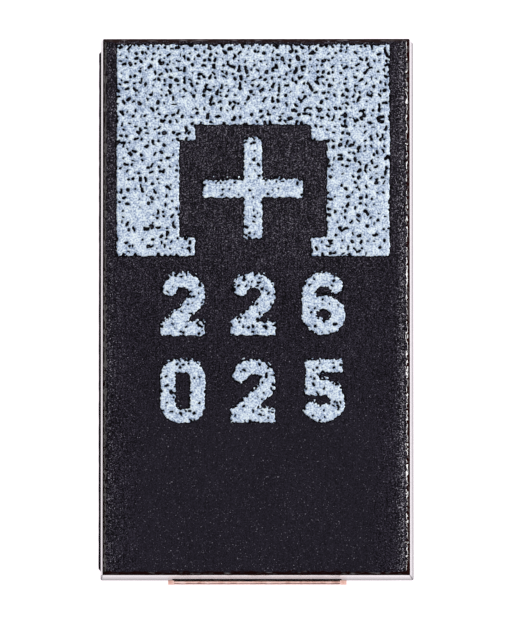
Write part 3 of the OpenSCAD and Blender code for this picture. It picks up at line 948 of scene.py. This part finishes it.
# Colloidal graphite, dipped and baked: charcoal grey, matt with a greasy sheen.
graphiteLook = {"dark": "#232427", "light": "#3D3F43", "grain": (0.02, 0.02, 0.008),
                "roughness": 0.55, "bumpDepth": 0.002, "metallic": 0.0, "ior": 2.0}

# Silver paint, dipped and cured: pale grey flakes in a little resin, satin and uneven.
silverPaintLook = {"dark": "#A3A19B", "light": "#DCDAD4", "grain": (0.025, 0.025, 0.015),
                   "roughness": 0.42, "bumpDepth": 0.003, "metallic": 1.0}

# Silver-filled epoxy, dispensed as a paste: greyer and lumpier than the paint.
adhesiveLook = {"dark": "#8C8A85", "light": "#BEBCB6", "grain": (0.05, 0.05, 0.05),
                "roughness": 0.5, "bumpDepth": 0.006, "metallic": 1.0}

innerMaterials = {
    "tantalum_pellet": ("sinteredTantalum", pelletLook),
    "anode_wire": ("drawnTantalumWire", wireLook),
    "insulating_washer": ("skivedPtfe", washerLook),
    "polymer_coat": ("conductivePolymer", polymerLook),
    "graphite_coat": ("colloidalGraphite", graphiteLook),
    "silver_coat": ("curedSilverPaint", silverPaintLook),
    "silver_adhesive": ("silverFilledEpoxy", adhesiveLook),
}
for node, (materialName, look) in innerMaterials.items():
    dress(node, mottledMaterial(materialName, look))
print("inner pieces dressed")


cameraSetup = {
    "distance": 82.0,         # from the top face
    "tilt": 2.45,             # degrees off straight down, towards the cathode end
    "yaw": 0.47,              # degrees off straight down, towards +X
    "aim": (-0.003, -0.1825),  # where on the top face the view is centred
    "viewHeight": 8.58,       # height of the picture at the top face
    "sensor": 36.0,
}


def addCamera(setup):
    tilt, yaw = math.radians(setup["tilt"]), math.radians(setup["yaw"])
    target = Vector((*setup["aim"], topFace)) * metresPerMm
    away = Vector((math.sin(yaw), -math.sin(tilt), 0))
    away.z = math.sqrt(1 - away.length_squared)
    data = bpy.data.cameras.new("camera")
    data.sensor_width = setup["sensor"]
    data.lens = setup["sensor"] * setup["distance"] / setup["viewHeight"]
    data.clip_start, data.clip_end = 0.001, 10
    camera = addObject("camera", data)
    camera.location = target + away * setup["distance"] * metresPerMm
    camera.rotation_mode = "QUATERNION"
    back = away.normalized()
    right = Vector((0, 1, 0)).cross(back).normalized()
    up = back.cross(right)
    camera.rotation_quaternion = Matrix((right, up, back)).transposed().to_quaternion()
    bpy.context.scene.camera = camera


stageSetup = {
    "floorSize": 1200,        # mm
    "floorDrop": 0.002,       # mm under the feet, so that the two don't share one plane
    "floorColour": "#7A7A7C",
    "floorGlow": 1.12,        # the floor glows white round the part, as on a light table
    "farGlow": 0.12,
    "glowRadius": 7.0,        # mm, and it fades from here to three times as far
    "glowTint": (1.0, 0.92, 0.97),
    "ceiling": (0.02, 0.06),  # strength of the room's light, low down and straight above
    "farWall": 0.2,           # and of the paler wall behind the anode end
    # name, place in mm, size in mm and power of each lamp
    "softboxes": (("keySoftbox", (250, 50, 205), (240, 80), 1.4),
                  ("fillSoftbox", (-280, 50, 150), (300, 200), 0.3)),
}


def addFloor(setup):
    half, level = setup["floorSize"] / 2 * metresPerMm, -setup["floorDrop"] * metresPerMm
    mesh = bpy.data.meshes.new("floor")
    corners = [(x, y, level) for x, y in ((-half, -half), (half, -half), (half, half), (-half, half))]
    mesh.from_pydata(corners, [], [(0, 1, 2, 3)])
    material, tree, shader, place = startMaterial("lightTable")
    shader.inputs["Base Color"].default_value = toLinear(setup["floorColour"])
    shader.inputs["Roughness"].default_value = 0.9
    shader.inputs["Emission Color"].default_value = (*setup["glowTint"], 1)
    away = addNode(tree, "ShaderNodeVectorMath", "LENGTH", [place], "Value")
    glow = addNode(tree, "ShaderNodeMapRange", {"interpolation_type": "SMOOTHSTEP"},
                   [away, setup["glowRadius"], 3 * setup["glowRadius"],
                    setup["floorGlow"], setup["farGlow"]])
    tree.links.new(glow, shader.inputs["Emission Strength"])
    mesh.materials.append(material)
    floor = addObject("floor", mesh)


def addSoftbox(name, place, size, power):
    data = bpy.data.lights.new(name, "AREA")
    data.shape = "RECTANGLE"
    data.size, data.size_y = size[0] * metresPerMm, size[1] * metresPerMm
    data.energy = power
    lamp = addObject(name, data)
    lamp.location = Vector(place) * metresPerMm
    lamp.rotation_mode = "QUATERNION"
    away = lamp.location - Vector((0, 0, topFace * metresPerMm))
    lamp.rotation_quaternion = away.to_track_quat("Z", "Y")


def addRoom(setup):
    # a dim room round the light table, with a paler wall behind the anode end
    world = bpy.data.worlds.new("room")
    world.use_nodes = True
    tree = world.node_tree
    tree.nodes.clear()
    direction = addNode(tree, "ShaderNodeTexCoord", output="Generated")
    towards = addNode(tree, "ShaderNodeSeparateXYZ", {}, [direction], None)
    ceiling = addNode(tree, "ShaderNodeMapRange", {},
                      [towards.outputs["Z"], 0.15, 0.75, *setup["ceiling"]])
    wall = addNode(tree, "ShaderNodeMapRange", {},
                   [towards.outputs["Y"], 0.3, 0.9, 0.0, setup["farWall"]])
    level = addNode(tree, "ShaderNodeMath", "ADD", [ceiling, wall])
    light = addNode(tree, "ShaderNodeBackground", {}, {"Strength": level})
    addNode(tree, "ShaderNodeOutputWorld", {}, [light], None)
    bpy.context.scene.world = world


addCamera(cameraSetup)
addFloor(stageSetup)
addRoom(stageSetup)
for softbox in stageSetup["softboxes"]:
    addSoftbox(*softbox)
bpy.context.scene.view_settings.view_transform = "Standard"
print("stage set")
